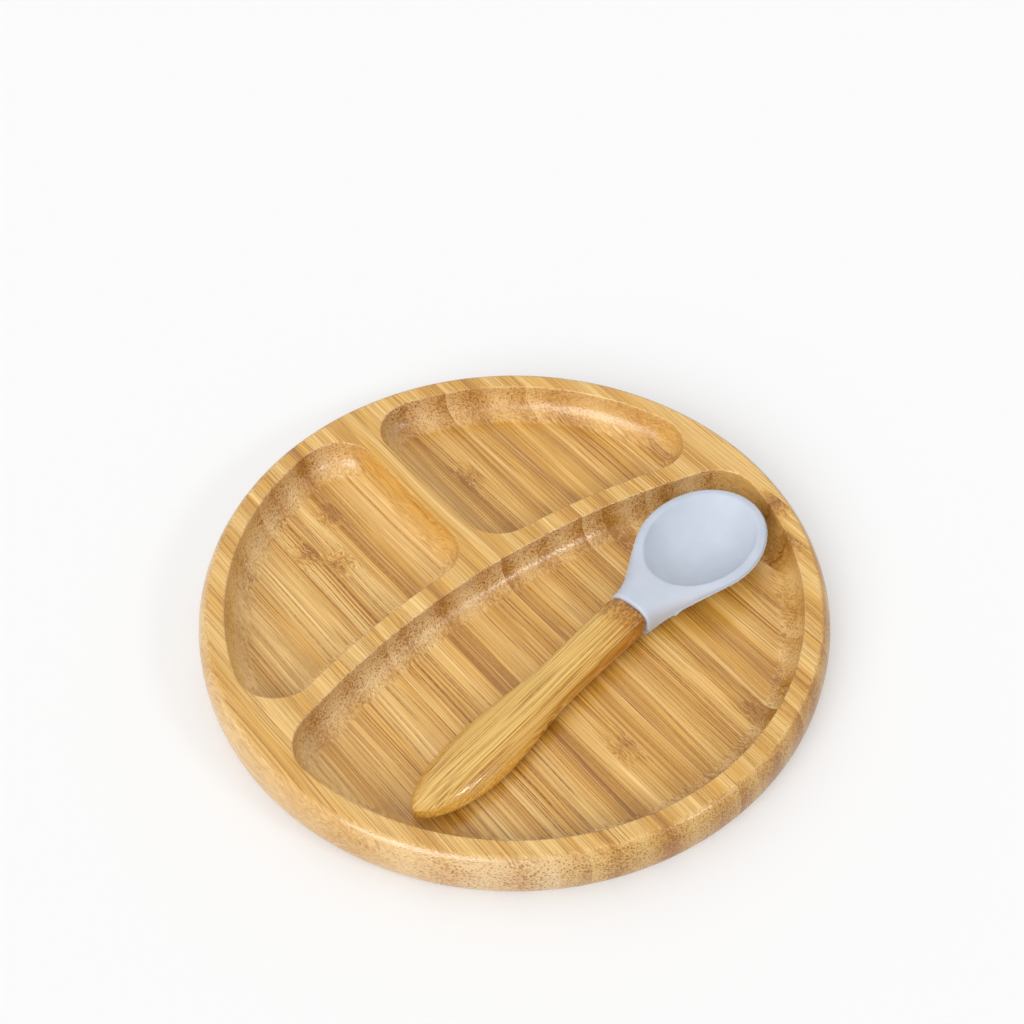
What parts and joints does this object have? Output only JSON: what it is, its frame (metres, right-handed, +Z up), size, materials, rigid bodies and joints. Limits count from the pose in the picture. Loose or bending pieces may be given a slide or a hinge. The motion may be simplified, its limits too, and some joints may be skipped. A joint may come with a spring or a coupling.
{
  "type": "divided plate",
  "caption": "Round divided bamboo plate for a child, glued up from edge-joined strips and milled into food pockets, with a loose bamboo spoon that has a silicone head.",
  "frame": {"origin": "middle of the plate's flat underside, on the surface that the plate stands on", "axes": "+Z up out of the pockets, +Y along the bamboo's grain towards the two small pockets, +X across the strips"},
  "size_m": [0.18, 0.18, 0.0184],
  "materials": {
    "bamboo_pale": "oiled, satin",
    "bamboo_honey": "oiled, satin",
    "bamboo_brown": "oiled, satin",
    "handle_bamboo": "lacquered, semi-gloss",
    "silicone": "moulded, matte"
  },
  "bodies": {
    "plate": {"bamboo_strip_01": "bamboo_honey", "bamboo_strip_02": "bamboo_pale", "bamboo_strip_03": "bamboo_honey", "bamboo_strip_04": "bamboo_pale", "bamboo_strip_05": "bamboo_honey", "bamboo_strip_06": "bamboo_brown", "bamboo_strip_07": "bamboo_honey", "bamboo_strip_08": "bamboo_pale", "bamboo_strip_09": "bamboo_honey", "bamboo_strip_10": "bamboo_brown", "bamboo_strip_11": "bamboo_pale", "bamboo_strip_12": "bamboo_honey", "bamboo_strip_13": "bamboo_pale", "bamboo_strip_14": "bamboo_brown", "bamboo_strip_15": "bamboo_honey", "bamboo_strip_16": "bamboo_pale", "bamboo_strip_17": "bamboo_honey", "bamboo_strip_18": "bamboo_brown", "bamboo_strip_19": "bamboo_pale", "bamboo_strip_20": "bamboo_honey", "bamboo_strip_21": "bamboo_pale", "bamboo_strip_22": "bamboo_honey", "bamboo_strip_23": "bamboo_brown", "bamboo_strip_24": "bamboo_honey", "bamboo_strip_25": "bamboo_pale"},
    "spoon": {"spoon_handle": "handle_bamboo", "spoon_head": "silicone"}
  },
  "joints": [
    {"name": "spoon_lift", "type": "slide", "parent": "plate", "child": "spoon", "axis": [0, 0, 1], "range_m": [0, 0.08]}
  ]
}
